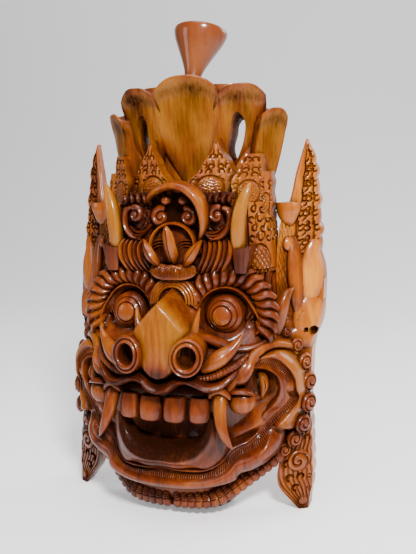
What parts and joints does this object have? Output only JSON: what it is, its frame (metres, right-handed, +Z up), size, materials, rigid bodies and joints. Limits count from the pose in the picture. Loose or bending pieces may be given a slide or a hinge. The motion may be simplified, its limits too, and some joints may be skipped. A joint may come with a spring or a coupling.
{
  "type": "carved mask",
  "caption": "Standing carved wooden guardian-beast mask with a flaring petal crown, turned finial, open fanged mouth, side wing boards that end in pointed legs, and a hollow open back.",
  "frame": {"origin": "bottom centre of the bounding box, on the surface the mask stands on", "axes": "+X to the viewer's right, +Z up along the height, the face looks to -Y"},
  "size_m": [0.28, 0.1661, 0.4981],
  "materials": {
    "carved_wood": "satin varnish over orange-brown hardwood, darker stain in the cuts",
    "ear_wood": "satin varnish over lighter orange-brown hardwood",
    "turned_wood": "glossy varnish over red-brown turned hardwood"
  },
  "bodies": {
    "root": {"head": "carved_wood", "wing_right": "ear_wood", "wing_left": "ear_wood", "finial": "turned_wood"}
  },
  "joints": []
}
